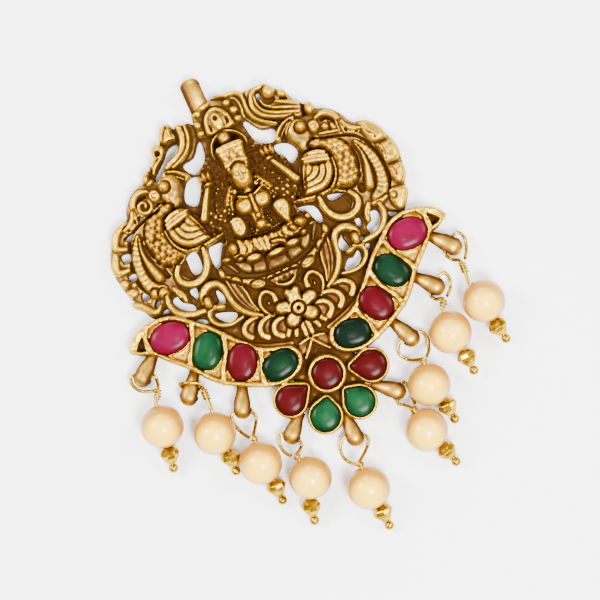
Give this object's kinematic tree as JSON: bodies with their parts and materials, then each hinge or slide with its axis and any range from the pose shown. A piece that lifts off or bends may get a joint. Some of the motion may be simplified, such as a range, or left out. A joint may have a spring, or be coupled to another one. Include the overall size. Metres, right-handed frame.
{
  "type": "jadanagam braid ornament",
  "caption": "Gilt temple-style braid ornament: pierced relief arch with a seated figure between peacocks, a crescent of cabochons with a stone flower, and pearl drops along its lower edge.",
  "frame": {"origin": "middle of the leafwork's five-petal flower, on the flat back", "axes": "+Z out of the relief, +Y towards the arch and the bail, +X to the viewer's right"},
  "size_m": [0.0538, 0.0694, 0.006],
  "materials": {
    "gilt_metal": "cast, gilt, dark patina in the hollows",
    "gilt_wire": "bright gilt",
    "pink_stone": "polished cabochon",
    "ruby_stone": "polished cabochon",
    "green_stone": "polished cabochon",
    "pearl": "pearl lustre",
    "amber_glass": "faceted, glossy"
  },
  "bodies": {
    "root": {"gilt_body": "gilt_metal", "stone_pink_left": "pink_stone", "stone_pink_right": "pink_stone", "stone_green_outer_left": "green_stone", "stone_green_outer_right": "green_stone", "stone_ruby_left": "ruby_stone", "stone_ruby_right": "ruby_stone", "stone_green_inner_left": "green_stone", "stone_green_inner_right": "green_stone", "flower_stone_center": "ruby_stone", "flower_stone_left": "ruby_stone", "flower_stone_right": "ruby_stone", "flower_stone_low_left": "green_stone", "flower_stone_low_right": "green_stone", "pin_1": "gilt_wire", "pin_2": "gilt_wire", "pin_3": "gilt_wire", "pin_4": "gilt_wire", "pin_5": "gilt_wire", "pin_6": "gilt_wire", "pin_7": "gilt_wire", "pin_8": "gilt_wire", "pin_9": "gilt_wire", "pearl_1": "pearl", "pearl_2": "pearl", "pearl_3": "pearl", "pearl_4": "pearl", "pearl_5": "pearl", "pearl_6": "pearl", "pearl_7": "pearl", "pearl_8": "pearl", "pearl_9": "pearl", "cut_bead_1": "amber_glass", "cut_bead_2": "amber_glass", "cut_bead_3": "amber_glass", "cut_bead_4": "amber_glass", "cut_bead_5": "amber_glass", "cut_bead_6": "amber_glass", "cut_bead_7": "amber_glass", "cut_bead_8": "amber_glass", "cut_bead_9": "amber_glass"}
  },
  "joints": []
}
